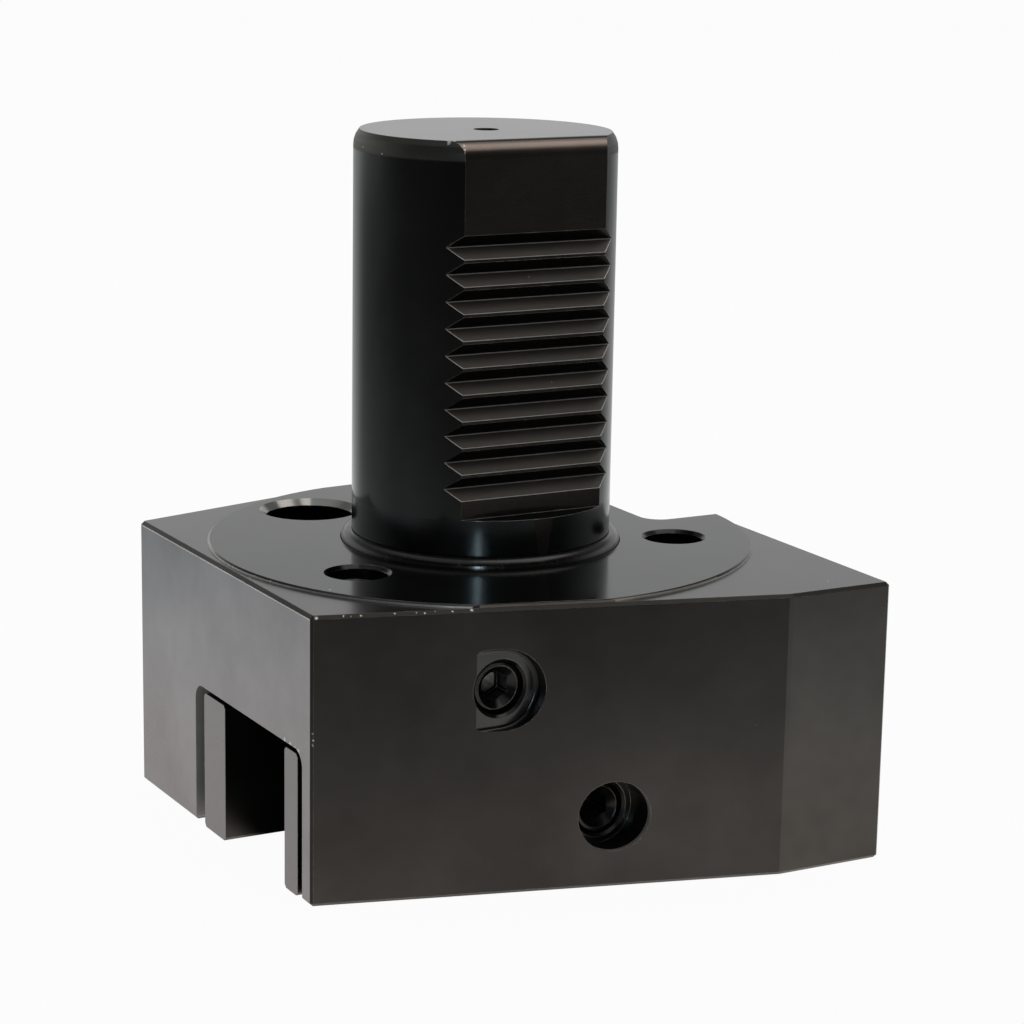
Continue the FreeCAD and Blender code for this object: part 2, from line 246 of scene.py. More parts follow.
class Surface(Enum):
    """Kinds of surface that machining leaves on the blackened steel, and zones of painted light, painted highlight
    and painted shade laid over it.
    """

    MILLED = Patch((0.058, 0.055, 0.052), 0.23, 0.85)
    FRONT = Patch((0.086, 0.082, 0.077), 0.23, 0.85)
    # Lighter copies of the same blackened steel: painted light on the end faces, the bars' ends and the block's top.
    SIDE = Patch((0.234, 0.234, 0.249), 0.29, 0.85)
    END = Patch((0.190, 0.190, 0.202), 0.29, 0.85)
    TOP = Patch((0.150, 0.152, 0.150), 0.22, 0.85)
    GROUND = Patch((0.042, 0.043, 0.043), 0.11, 0.95)
    LEAD = Patch((0.060, 0.060, 0.054), 0.40, 0.5)
    FOOT = Patch((0.046, 0.049, 0.051), 0.19, 0.9)
    FACED = Patch((0.052, 0.055, 0.056), 0.14, 0.9)
    FLAT = Patch((0.054, 0.049, 0.045), 0.27, 0.7)
    FLANK = Patch((0.090, 0.080, 0.070), 0.50, 0.0)
    # Painted highlight, warm-toned, on the rounding over the flat.
    ROUNDED = Patch((0.250, 0.205, 0.180), 0.28, 0.8)
    # Painted light: a light strip on the slot's wall, deep in the slot.
    WALL = Patch((0.410, 0.400, 0.385), 0.60, 0.6)
    # Painted highlight: thin light lines along the grooves' edges and along the left end face's top.
    LINE = Patch((0.700, 0.680, 0.640), 0.50, 0.0)
    # Painted highlight: a light patch on the coolant inlet's chamfer.
    MOUTH = Patch((0.360, 0.360, 0.350), 0.14, 0.9)
    # Painted shade: darker edge chamfers.
    CORNER = Patch((0.028, 0.026, 0.024), 0.30, 0.8)
    # Painted highlights on the disc's wall and left edge, and painted light in the support screw's sink.
    RIM = Patch((0.550, 0.545, 0.530), 0.40, 0.6)
    # Painted highlight: a brownish light line along the disc's front edge.
    LIP = Patch((0.260, 0.225, 0.200), 0.40, 0.6)
    POCKET = Patch((0.083, 0.084, 0.083), 0.26, 0.85)
    SHADE = Patch((0.022, 0.020, 0.019), 0.24, 0.9)
    # Painted shade: darker inside the bored holes.
    BORED = Patch((0.034, 0.035, 0.036), 0.16, 0.9)
    SCREW = Patch((0.034, 0.034, 0.035), 0.20, 0.8)


@dataclass(frozen=True)
class Nick:
    """Spot in millimetres where a knock has bared the steel."""

    place: Triple
    size: float


class Steel:
    """Builds one blackened steel out of patches, marks of the tools, worn edges that also serve as painted highlight
    lines, and nicks.
    """

    edge_turn: Span = (0.015, 0.09)
    patch_levels: Span = (0.40, 0.72)
    least_wear: float = 0.3
    bare_gloss: float = 0.3
    bare_steel: float = 0.2
    least_roughness: float = 0.05
    raggedness: float = 1.6
    nick_rim: Span = (0.6, 0.3)

    def __init__(self, name: str, ground: Patch, wear: float = 0.5, nicks: Sequence[Nick] = ()) -> None:
        """Start the material with one patch all over it.

        Args:
            name: Name of the material.
            ground: Look of the surface wherever no other patch is laid.
            wear: How bare the edges are, from 0 to 1.
            nicks: Spots of bare steel.
        """
        self.material, self.graph = new_material(name)
        self.place = millimetres(self.graph)
        self.x, self.y, self.z = self.graph.parts(self.place)
        self.normal = self.graph.add("ShaderNodeNewGeometry").outputs["True Normal"]
        self.face_x, self.face_y, self.face_z = self.graph.parts(self.normal)
        soft = self.graph.add("ShaderNodeNewGeometry").outputs["Normal"]
        self.soft_z = self.graph.parts(soft)[2]
        self.radius = (self.x * self.x + self.y * self.y).root()
        self.tint: Any = ground.tint
        self.rough: Number = ground.roughness
        self.steel: Number = ground.steel
        self.height: Number = 0.0
        self.wear, self.nicks = wear, nicks
        self.least_wear_and_highlight: Number = 0.0  # least wear of the edges, where it is kept up, which also paints highlight lines

    def lay(self, mask: Value, patch: Patch) -> None:
        """Lay another patch where a mask is 1."""
        self.tint = self.graph.blend(mask, self.tint, patch.tint)
        self.rough = self.rough + mask * (patch.roughness - self.rough)
        self.steel = self.steel + mask * (patch.steel - self.steel)

    def stretched(self, x: float, y: float, z: float) -> bpy.types.NodeSocket:
        """Place in millimetres with each axis drawn out by its own factor."""
        settings = {"operation": "MULTIPLY"}
        return self.graph.add("ShaderNodeVectorMath", settings, {0: self.place, 1: (x, y, z)}).outputs[0]

    def streak(self, mask: Number, place: bpy.types.NodeSocket, scale: float, gloss: float, relief: float) -> None:
        """Fine lines left by a tool, seen in the gloss and in the relief.

        Args:
            mask: Where the lines are.
            place: Drawn-out place that makes lines of the noise.
            scale: Lines to a millimetre, about.
            gloss: Share by which the roughness changes.
            relief: Height of the lines in millimetres.
        """
        line = self.graph.noise(place, scale, detail=2.5, rough=0.55) - 0.5
        self.rough = self.rough * (1.0 + mask * line * gloss)
        self.height = self.height + mask * line * relief

    def cloud(self, scale: float, gloss: float, shade: float) -> None:
        """Cloudiness of the black, in its gloss and its tone."""
        cloud = self.graph.noise(self.place, scale, detail=3.0, rough=0.55) - 0.5
        self.rough = self.rough * (1.0 + cloud * gloss)
        level = 1.0 + cloud * shade
        grey = self.graph.vector(level, level, level)
        settings = {"data_type": "RGBA", "blend_type": "MULTIPLY"}
        tint = (*self.tint, 1.0) if isinstance(self.tint, tuple) else self.tint
        self.tint = self.graph.add("ShaderNodeMix", settings, {"Factor": 1.0, 6: tint, 7: grey}).outputs[2]

    def finish(self) -> bpy.types.Material:
        """Wear the edges, partly wear and partly painted highlight lines, bare the nicks and close the material.

        Returns:
            The finished material.
        """
        graph = self.graph
        rounded = graph.add("ShaderNodeBevel", {"samples": 4}, {"Radius": EDGE_RADIUS}).outputs[0]
        settings = {"operation": "DOT_PRODUCT"}
        turned = graph.value("ShaderNodeVectorMath", settings, {0: rounded, 1: self.normal}, "Value")
        patchy = graph.noise(self.place, 0.35, detail=4.0, rough=0.6).rise(*self.patch_levels)
        bared = (self.least_wear + (1.0 - self.least_wear) * patchy) * self.wear
        # Bared edges: partly edge wear, partly painted highlight lines.
        worn = (1.0 - turned).rise(*self.edge_turn) * bared.at_least(self.least_wear_and_highlight)
        ragged = (graph.noise(self.place, 3.0, detail=3.0) - 0.5) * self.raggedness
        for nick in self.nicks:
            away = graph.add("ShaderNodeVectorMath", {"operation": "DISTANCE"}, {0: self.place, 1: nick.place})
            rim = Value(graph, away.outputs["Value"]) + ragged * nick.size
            worn = worn.at_least(rim.rise(*(nick.size * share for share in self.nick_rim)))
        tint = graph.blend(worn, self.tint, BARE_STEEL)
        rough = (self.rough * (1.0 - worn) + worn * self.bare_gloss).at_least(self.least_roughness)
        relief = graph.add(
            "ShaderNodeBump", inputs={"Strength": 1.0, "Distance": MM, "Height": self.height, "Normal": rounded}
        )
        steel = self.steel + worn * (self.bare_steel - self.steel)
        inputs = {"Base Color": tint, "Metallic": steel, "Roughness": rough, "Normal": relief.outputs[0]}
        shader = graph.add("ShaderNodeBsdfPrincipled", inputs=inputs)
        graph.add("ShaderNodeOutputMaterial", inputs={"Surface": shader.outputs[0]})
        return self.material


def knocks() -> tuple[Nick, ...]:
    """Knocks and specks on the holder, in millimetres."""
    spots = (
        ((-42.5, -31.2, -0.8), 0.45), ((-13.4, -13.8, 62.85), 0.60), ((-12.6, -13.9, 62.9), 0.40),
        ((-11.7, -15.2, 62.4), 0.40), ((-11.8, -15.7, 61.9), 0.40), ((-11.9, -16.0, 61.4), 0.35),
        ((-19.9, 1.3, 60.9), 0.20), ((-19.5, -4.3, 60.4), 0.20), ((-0.6, -15.25, 42.7), 0.20),
        ((3.6, -15.3, 26.6), 0.20), ((-35.3, -20.4, 0.0), 0.40), ((34.4, -45.0, -0.5), 0.30),
        ((-42.9, -31.2, -17.6), 0.30), ((-42.9, -31.2, -18.6), 0.30), ((-42.9, -31.2, -19.3), 0.35),
        ((-43.25, -24.1, -21.1), 0.80), ((-43.25, -22.2, -21.0), 0.60), ((-43.25, -25.6, -21.2), 0.60),
        ((-43.25, -26.9, -21.4), 0.70), ((-41.4, -7.5, -0.3), 0.25), ((-40.6, -11.3, -0.3), 0.25),
        ((-38.7, -32.1, -0.7), 0.28), ((-37.7, -32.5, -0.75), 0.18), ((-36.3, -32.8, -0.75), 0.24),
        ((-31.6, -34.0, -0.65), 0.30), ((-28.6, -34.8, -0.7), 0.18), ((-27.5, -35.2, -0.75), 0.26),
        ((-26.0, -35.5, -0.65), 0.16), ((-23.6, -36.2, -0.75), 0.30), ((-20.9, -36.9, -0.7), 0.34),
        ((20.5, -48.2, -20.0), 0.25), ((30.2, 20.0, -1.0), 0.35), ((42.3, -20.0, -1.0), 0.35),
        ((-14.4, 44.9, -12.0), 0.40), ((-30.0, 40.0, -0.8), 0.35), ((10.0, 45.0, -43.0), 0.45),
    )
    return tuple(Nick(place, size) for place, size in spots)


@dataclass(frozen=True)
class HolderFinish:
    """Blackened steel of the holder, told apart by how each surface was machined, with painted light, painted
    highlights and painted shade on some zones. Places in millimetres.

    Upright, level and slanted faces are told apart by the parts of their normals.
    """

    wear: float = 0.55
    groove_wear_and_highlight: float = 0.9
    side_wear_and_highlight: float = 0.6
    facing: float = 0.9
    square: float = 0.99
    slant: Span = (0.5, 0.9)
    leaning: float = 0.4
    not_level: float = 0.1
    end_x: float = 42.4
    front_y: float = -49.0
    top_heights: Span = (-0.8, -0.3)
    disc_height: float = 0.05
    disc_wall_radius: float = 42.15
    disc_wall_heights: Span = (-0.49, -0.27)
    disc_edge_radius: float = 41.85
    disc_edge_heights: Span = (-0.3, -0.02)
    disc_edge_y: Span = (4.0, 14.0)
    lip_radius: float = 40.0
    lip_y: float = -37.0
    lip_heights: Span = (-0.48, -0.15)
    bore_radius: float = 41.0
    bore_heights: Span = (-20.0, -0.1)
    inlet_radius: float = 41.5
    inlet_y: float = 15.0
    inlet_heights: Span = (-1.5, 0.1)
    front_edge_radius: float = 40.5
    front_edge_heights: Span = (-1.2, -0.45)
    corner_top: float = -0.9
    corner_y: float = -25.0
    left_line_z: float = -1.2
    slot_wall_y: float = 9.9
    slot_wall_reach: float = 1.4
    slot_wall_top: float = -20.9
    sink_z: float = -32.7
    sink_radius: float = 5.9
    sink_reach: float = -41.9
    front_taper: float = 0.268
    pocket_y: float = -36.0
    pocket_z: float = -12.7
    pocket_depth: float = 3.0
    pocket_half: float = 9.0
    shank_foot: float = 0.3
    foot_top: float = 6.9
    lead_heights: Span = (59.9, 60.4)
    squared_x: float = 0.05
    squared_y: float = -12.0
    groove_top: float = 56.0
    flat_tilt: float = 0.98
    flat_top: float = 59.0
    rounded_low: float = 60.0
    rounded_tilt: Span = (0.15, 0.75)
    rounded_end: float = 0.97
    root_line_y: float = -14.43
    crest_line_y: float = -16.03
    end_line_radius: float = 19.87
    nicks: tuple[Nick, ...] = field(default_factory=knocks)

    def build(self) -> bpy.types.Material:
        """Make the material with a zone for each kind of surface.

        Returns:
            The finished material.
        """
        steel = Steel("blackened_holder_steel", Surface.MILLED.value, self.wear, self.nicks)
        side = (abs(steel.face_x) > self.facing) * (abs(steel.x) > self.end_x) * (steel.z < 0.0)
        up = steel.face_z > self.facing
        shank = steel.z > self.shank_foot
        # Painted light: the end faces are laid lighter than the rest of the block.
        steel.lay(side, Surface.SIDE.value)
        steel.lay((steel.face_y < -self.square) * (steel.y < self.front_y), Surface.FRONT.value)
        # Painted light: the block's top is laid lighter.
        steel.lay(steel.z.within(self.top_heights) * up, Surface.TOP.value)
        flat, flank = self._shank(steel, shank, up)
        self._holes(steel)
        self._edges(steel, side, up)
        disc = (abs(steel.z) < self.disc_height) * up
        faced = disc.at_least(shank * up)
        steel.lay(faced, Surface.FACED.value)
        # The grooves' and end faces' edges are kept bare and bright: partly edge wear, partly painted highlight
        # lines.
        steel.least_wear_and_highlight = (flank * self.groove_wear_and_highlight).at_least(side * self.side_wear_and_highlight)

        rings = steel.graph.vector(steel.radius, 0.0, 0.0)
        turned = shank * (1.0 - flat) * (1.0 - up)
        milled = (1.0 - shank) * (1.0 - disc) * (1.0 - side)
        steel.streak(faced, rings, scale=2.2, gloss=0.5, relief=0.0004)
        steel.streak(turned, steel.stretched(0.03, 0.03, 1.0), scale=2.5, gloss=0.35, relief=0.0003)
        steel.streak(flat, steel.stretched(0.05, 0.2, 1.0), scale=2.0, gloss=0.3, relief=0.00012)
        steel.streak(milled, steel.stretched(0.04, 0.04, 0.7), scale=1.2, gloss=0.25, relief=0.0002)
        steel.cloud(scale=0.055, gloss=0.45, shade=0.85)
        steel.cloud(scale=0.30, gloss=0.15, shade=0.25)
        return steel.finish()

    def _shank(self, steel: Steel, shank: Value, up: Value) -> tuple[Value, Value]:
        """Lay the patches of the shank.

        Args:
            steel: Material that they are laid on.
            shank: 1 on the shank.
            up: 1 on faces that look up.

        Returns:
            Masks of the flat and of the grooves' upper flanks.
        """
        y, z, face_z = steel.y, steel.z, steel.face_z
        squared = shank * (abs(steel.face_x) < self.squared_x) * (y < self.squared_y)
        flat = squared * (steel.face_y < -self.flat_tilt).at_least(z > self.flat_top)
        flank = squared * (face_z > self.leaning) * (z < self.groove_top)
        rounded = squared * (z > self.rounded_low) * steel.soft_z.rise(*self.rounded_tilt)
        lines = (y > self.root_line_y).at_least(y < self.crest_line_y)
        steel.lay(shank, Surface.GROUND.value)
        steel.lay(shank * (z < self.foot_top) * (1.0 - up), Surface.FOOT.value)
        steel.lay(z.rise(*self.lead_heights) * (1.0 - up), Surface.LEAD.value)
        steel.lay(flat, Surface.FLAT.value)
        steel.lay(flank, Surface.FLANK.value)
        # Painted highlight: lighter where the rounding over the flat faces more upward.
        steel.lay(rounded * (face_z < self.rounded_end), Surface.ROUNDED.value)
        steel.lay(squared * (face_z < -self.leaning), Surface.SHADE.value)
        # Painted highlight lines along the grooves' roots and crests and at the shank's outer edge.
        steel.lay(flank * lines.at_least(steel.radius > self.end_line_radius), Surface.LINE.value)
        return flat, flank

    def _holes(self, steel: Steel) -> None:
        """Lay the painted shade in the bored holes, the painted highlight on the coolant inlet's mouth, the painted
        light on the slot's wall, and the pocket's patch.
        """
        y, z = steel.y, steel.z
        inlet = steel.face_z.within(self.slant) * z.within(self.inlet_heights) * (y > self.inlet_y)
        slot_wall = (steel.face_y < -self.not_level) * (abs(y - self.slot_wall_y) < self.slot_wall_reach)
        pocket = (abs(y - self.pocket_y) < self.pocket_depth) * (abs(z - self.pocket_z) < self.pocket_half)
        # Painted shade inside the bores under the disc.
        steel.lay(z.within(self.bore_heights) * (steel.radius < self.bore_radius), Surface.BORED.value)
        # Painted highlight on the coolant inlet's chamfer.
        steel.lay(inlet * (steel.radius < self.inlet_radius), Surface.MOUTH.value)
        # Painted light on the slot's wall.
        steel.lay(slot_wall * (z < self.slot_wall_top), Surface.WALL.value)
        steel.lay(pocket * (steel.face_y < -self.square), Surface.POCKET.value)

    def _edges(self, steel: Steel, side: Value, up: Value) -> None:
        """Lay the painted shade on the block's edge chamfers, the painted highlight line on the left end face, the
        painted highlights on the disc's rim and front lip, and the painted light in the support screw's sink.

        Args:
            steel: Material that they are laid on.
            side: 1 on the two end faces.
            up: 1 on faces that look up.
        """
        x, y, z, radius = steel.x, steel.y, steel.z, steel.radius
        front_edge = steel.face_z.within(self.slant) * (steel.face_y < -self.leaning)
        front_edge = front_edge * z.within(self.front_edge_heights) * (radius > self.front_edge_radius)
        left_front = (-1.0 * steel.face_x).within(self.slant) * (z < self.corner_top) * (y < self.corner_y)
        left_highlight_line = side * (z > self.left_line_z) * (x < 0.0)
        lip = (radius > self.lip_radius) * (y < self.lip_y) * z.within(self.lip_heights) * (1.0 - up)
        disc_edge = (radius > self.disc_edge_radius) * z.within(self.disc_edge_heights) * (1.0 - up)
        disc_edge = disc_edge * (x < 0.0) * y.rise(*self.disc_edge_y)
        disc_wall = (radius > self.disc_wall_radius) * z.within(self.disc_wall_heights) * (1.0 - up)
        sink = (x * x + (z - self.sink_z) * (z - self.sink_z)).root() < self.sink_radius
        sink = sink * (steel.face_y > -self.facing) * (y + x * self.front_taper < self.sink_reach)
        # Painted shade on the front top chamfer and the left-front upright chamfer.
        steel.lay(front_edge.at_least(left_front), Surface.CORNER.value)
        # Painted highlight line along the top of the left end face.
        steel.lay(left_highlight_line, Surface.LINE.value)
        # Painted highlight line along the disc's front edge.
        steel.lay(lip, Surface.LIP.value)
        # Painted highlights on the disc's wall and edge, and painted light inside the support screw's sink.
        steel.lay(disc_wall.at_least(sink).at_least(disc_edge), Surface.RIM.value)


@dataclass(frozen=True)
class LooseFinish:
    """Blackened steel of a loose piece such as a bar or a screw."""

    name: str
    surface: Surface
    wear: float
    grain: Triple = (0.05, 1.0, 1.0)
    ends: Surface | None = None
    facing: float = 0.9

    def build(self) -> bpy.types.Material:
        """Make the material with grinding lines along the grain."""
        steel = Steel(self.name, self.surface.value, self.wear)
        if self.ends:
            steel.lay(abs(steel.face_x) > self.facing, self.ends.value)
        steel.streak(1.0, steel.stretched(*self.grain), scale=2.0, gloss=0.3, relief=0.0002)
        steel.cloud(scale=0.15, gloss=0.3, shade=0.3)
        return steel.finish()


@dataclass(frozen=True)
class RubberFinish:
    """Glossy black rubber with a trace of dust."""

    name: str = "seal_rubber_black"
    black: Triple = (0.009, 0.009, 0.010)
    dust: Triple = (0.035, 0.035, 0.034)
    roughness: float = 0.15
    dulling: float = 0.15

    def build(self) -> bpy.types.Material:
        """Make the material."""
        material, graph = new_material(self.name)
        place = millimetres(graph)
        dusty = graph.noise(place, 0.8, detail=5.0, rough=0.7).rise(0.5, 0.75)
        rough = self.roughness + dusty * self.dulling
        relief = graph.add(
            "ShaderNodeBump", inputs={"Strength": 0.4, "Distance": 0.01 * MM, "Height": graph.noise(place, 5.0)}
        )
        inputs = {
            "Base Color": graph.blend(dusty, self.black, self.dust),
            "Roughness": rough,
            "Normal": relief.outputs[0],
        }
        shader = graph.add("ShaderNodeBsdfPrincipled", inputs=inputs)
        graph.add("ShaderNodeOutputMaterial", inputs={"Surface": shader.outputs[0]})
        return material


class Bench:
    """Modelling steps that the pieces share. A piece is shaped in millimetres and then set in its place."""

    @staticmethod
    def clear() -> None:
        """Leave edit mode and deselect everything."""
        if bpy.context.object and bpy.context.object.mode != "OBJECT":
            bpy.ops.object.mode_set(mode="OBJECT")
        bpy.ops.object.select_all(action="DESELECT")

    @staticmethod
    def line(name: str, points: Sequence[Triple]) -> bpy.types.Object:
        """Draw a line by drawing one point out to the next.

        Args:
            name: Name of the object.
            points: Its points in order.

        Returns:
            The object, in object mode.
        """
        Bench.clear()
        bpy.ops.mesh.primitive_plane_add(size=1.0, location=(0.0, 0.0, 0.0))
        piece = bpy.context.object
        piece.name = name
        bpy.ops.object.mode_set(mode="EDIT")
        bpy.ops.mesh.select_mode(type="VERT")
        bpy.ops.mesh.select_all(action="SELECT")
        bpy.ops.mesh.merge(type="COLLAPSE")
        bpy.ops.transform.translate(value=points[0])
        for start, end in zip(points, points[1:]):
            step = tuple(b - a for a, b in zip(start, end))
            bpy.ops.mesh.extrude_region_move(TRANSFORM_OT_translate={"value": step})
        bpy.ops.object.mode_set(mode="OBJECT")
        return piece

    @staticmethod
    def use(piece: bpy.types.Object, kind: str, settings: Mapping[str, Any]) -> None:
        """Add a modifier to a piece and apply it."""
        Bench.clear()
        bpy.context.view_layer.objects.active = piece
        piece.select_set(True)
        modifier = piece.modifiers.new(kind.lower(), kind)
        for name, setting in settings.items():
            setattr(modifier, name, setting)
        bpy.ops.object.modifier_apply(modifier=modifier.name)

    @staticmethod
    def trim(piece: bpy.types.Object, tool: bpy.types.Object, operation: str) -> None:
        """Cut a piece with a tool, or keep only what they share, and throw the tool away."""
        Bench.use(piece, "BOOLEAN", {"operation": operation, "solver": "EXACT", "object": tool})
        bpy.data.objects.remove(tool)

    @staticmethod
    def select(piece: bpy.types.Object, mode: str, test: Callable[[Vector], bool]) -> None:
        """Enter edit mode and select the vertices, or the faces by their middles, that pass a test."""
        Bench.clear()
        bpy.context.view_layer.objects.active = piece
        piece.select_set(True)
        bpy.ops.object.mode_set(mode="EDIT")
        bpy.ops.mesh.select_mode(type=mode)
        bpy.ops.mesh.select_all(action="DESELECT")
        mesh = bmesh.from_edit_mesh(piece.data)
        if mode == "FACE":
            for face in mesh.faces:
                face.select_set(test(face.calc_center_median()))
        else:
            for vertex in mesh.verts:
                vertex.select_set(test(vertex.co))
        bmesh.update_edit_mesh(piece.data)

    @staticmethod
    def close_shell(piece: bpy.types.Object) -> None:
        """Merge doubles, fill open ends and turn the faces outwards."""
        Bench.select(piece, "VERT", lambda place: True)
        bpy.ops.mesh.remove_doubles(threshold=1e-4)
        bpy.ops.mesh.fill_holes(sides=0)
        bpy.ops.mesh.select_all(action="SELECT")
        bpy.ops.mesh.normals_make_consistent(inside=False)
        bpy.ops.object.mode_set(mode="OBJECT")

    @staticmethod
    def set_in_place(piece: bpy.types.Object, place: Vector, outward: Vector, angle: float) -> None:
        """Turn, scale and move a piece modelled in millimetres along +Z, and smooth its faces.

        Args:
            piece: The piece.
            place: Where its origin goes, in metres.
            outward: Direction that its +Z turns to.
            angle: Largest angle in degrees that is still smoothed over.
        """
        Bench.clear()
        bpy.context.view_layer.objects.active = piece
        piece.select_set(True)
        turn = outward.to_track_quat("Z", "Y").to_matrix().to_4x4()
        piece.matrix_world = Matrix.Translation(place) @ turn @ Matrix.Scale(MM, 4)
        bpy.ops.object.transform_apply(location=True, rotation=True, scale=True)
        bpy.ops.object.shade_smooth_by_angle(angle=math.radians(angle))


@dataclass
class SealRing:
    """Smooth rubber ring in the corner between the shank and the seating disc. Millimetres."""

    centre_radius: float = 20.15
    section_radius: float = 1.5
    section_sides: int = 20
    steps: int = 144

    def build(self, finish: bpy.types.Material) -> bpy.types.Object:
        """Spin a round section about the shank's axis.

        Args:
            finish: Material of the ring.

        Returns:
            The ring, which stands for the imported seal.
        """
        Bench.clear()
        bpy.ops.mesh.primitive_circle_add(
            vertices=self.section_sides,
            radius=self.section_radius,
            location=(self.centre_radius, 0.0, 0.0),
            rotation=(math.pi / 2, 0.0, 0.0),
        )
        ring = bpy.context.object
        ring.name = "seal_ring"
        bpy.ops.object.transform_apply(location=True, rotation=True, scale=True)
        bpy.ops.object.mode_set(mode="EDIT")
        bpy.ops.mesh.select_all(action="SELECT")
        bpy.ops.mesh.spin(steps=self.steps, angle=2 * math.pi, center=(0.0, 0.0, 0.0), axis=(0.0, 0.0, 1.0))
        Bench.close_shell(ring)
        Bench.set_in_place(ring, Vector((0.0, 0.0, 0.0)), Vector((0.0, 0.0, 1.0)), 60.0)
        ring.data.materials.append(finish)
        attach(ring, "holder")
        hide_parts("shank_seal")
        return ring


@dataclass
class SetScrew:
    """Headless hexagon-socket screw with a cut thread, in the place of a packed one. Millimetres."""

    node: str
    name: str
    body: str
    outward: Triple
    key: float
    pitch: float
    bore: float = 0.0
    crest_flat: float = 0.14
    depth_share: float = 0.61
    spare_turns: float = 1.5
    end_chamfer: float = 0.22
    socket_share: float = 0.5
    socket_cone: float = 0.22
    socket_inset: float = 0.12
    countersink: float = 1.38
    tip_radius: float = 0.45
    tip_depth: float = 0.25
    sides: int = 60

    def build(self, finish: bpy.types.Material) -> bpy.types.Object:
        """Cut the thread out of a turned and broached blank.

        Args:
            finish: Material of the screw.

        Returns:
            The screw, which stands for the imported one.
        """
        low, high = (Vector(corner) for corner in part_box(self.node))
        outward = Vector(self.outward)
        middle = (low + high) / 2
        spans = [high[i] - low[i] for i in range(3)]
        along = max(range(3), key=lambda i: abs(outward[i]))
        length = spans[along] / MM
        radius = min(spans[i] for i in range(3) if i != along) / 2 / MM
        screw = self._thread(radius, length)
        Bench.trim(screw, self._blank(radius, length), "INTERSECT")
        Bench.set_in_place(screw, middle + outward * (length / 2 * MM), outward, 32.0)
        screw.data.materials.clear()
        screw.data.materials.append(finish)
        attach(screw, self.body)
        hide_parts(self.node)
        return screw

    def _thread(self, radius: float, length: float) -> bpy.types.Object:
        """Endless thread somewhat longer than the screw, from one pitch of its outline."""
        root, pitch = radius - self.depth_share * self.pitch, self.pitch
        half = self.crest_flat / 2
        steps = ((root, 0.0), (root, 0.1), (radius, 0.5 - half), (radius, 0.5 + half), (root, 0.9), (root, 1.0))
        low = -length - self.spare_turns * pitch
        outline = [(reach, 0.0, low + share * pitch) for reach, share in steps]
        thread = Bench.line(self.name, outline)
        settings = {
            "axis": "Z",
            "angle": 2 * math.pi,
            "screw_offset": pitch,
            "iterations": math.ceil(length / pitch) + math.ceil(2 * self.spare_turns),
            "steps": self.sides,
            "render_steps": self.sides,
            "use_merge_vertices": False,
        }
        Bench.use(thread, "SCREW", settings)
        Bench.close_shell(thread)
        return thread

    def _blank(self, radius: float, length: float) -> bpy.types.Object:
        """Turned rod with chamfered ends, a broached socket and a hollow tip."""
        near, spare = 0.01, 0.001
        blank = self._rod(self.sides, radius + spare, 0.0, -length)
        Bench.select(blank, "FACE", lambda place: place.z > -near or place.z < -length + near)
        bpy.ops.mesh.bevel(offset=self.end_chamfer * self.pitch, segments=1, affect="EDGES")
        bpy.ops.object.mode_set(mode="OBJECT")
        corner = self.key / math.sqrt(3.0)
        depth = length * self.socket_share
        socket = self._rod(6, corner, 1.0, -depth)
        Bench.select(socket, "FACE", lambda place: place.z < -depth + near)
        bpy.ops.mesh.inset(thickness=self.socket_inset * self.key)
        tip = (0.0, 0.0, -self.socket_cone * self.key)
        bpy.ops.mesh.extrude_region_move(TRANSFORM_OT_translate={"value": tip})
        bpy.ops.mesh.merge(type="CENTER")
        bpy.ops.object.mode_set(mode="OBJECT")
        Bench.trim(blank, socket, "DIFFERENCE")
        reach = corner * self.countersink
        Bench.trim(blank, self._cone(reach, 0.0, reach), "DIFFERENCE")
        Bench.trim(blank, self._cone(radius * self.tip_radius, -length, -radius * self.tip_depth), "DIFFERENCE")
        Bench.close_shell(blank)
        if self.bore:
            Bench.trim(blank, self._rod(32, self.bore / 2, 1.0, -length - 1.0), "DIFFERENCE")
        return blank

    @staticmethod
    def _rod(sides: int, radius: float, top: float, bottom: float) -> bpy.types.Object:
        """Plain rod about Z between two heights."""
        Bench.clear()
        middle = (0.0, 0.0, (top + bottom) / 2)
        bpy.ops.mesh.primitive_cylinder_add(vertices=sides, radius=radius, depth=top - bottom, location=middle)
        bpy.ops.object.transform_apply(location=True, rotation=True, scale=True)
        return bpy.context.object

    @staticmethod
    def _cone(radius: float, base: float, depth: float) -> bpy.types.Object:
        """Countersinking tool whose radius at a height is given, pointing down by a depth, or up if negative."""
        Bench.clear()
        spare = 1.5
        wide, tall = radius * spare, abs(depth) * spare
        sign = 1.0 if depth > 0 else -1.0
        middle = (0.0, 0.0, base + sign * (0.5 * abs(depth) - tall / 2))
        turn = (math.pi if depth > 0 else 0.0, 0.0, 0.0)
        bpy.ops.mesh.primitive_cone_add(vertices=60, radius1=wide, depth=tall, location=middle, rotation=turn)
        bpy.ops.object.transform_apply(location=True, rotation=True, scale=True)
        return bpy.context.object


@dataclass
class Lamp:
    """Soft rectangular lamp that looks at the origin."""

    name: str
    place: Triple
    width: float
    height: float
    radiance: float
    colour: Triple = (1.0, 1.0, 1.0)
    glossy: bool = True
    diffuse: bool = True

    def build(self) -> bpy.types.Object:
        """Add the lamp, unseen by the camera itself."""
        data = bpy.data.lights.new(self.name, "AREA")
        data.shape = "RECTANGLE"
        data.size, data.size_y = self.width, self.height
        data.energy = self.radiance * math.pi * self.width * self.height
        data.color = self.colour
        lamp = bpy.data.objects.new(self.name, data)
        bpy.context.scene.collection.objects.link(lamp)
        lamp.location = self.place
        lamp.rotation_euler = (-Vector(self.place)).to_track_quat("-Z", "Y").to_euler()
        lamp.visible_camera = False
        lamp.visible_glossy, lamp.visible_diffuse = self.glossy, self.diffuse
        return lamp


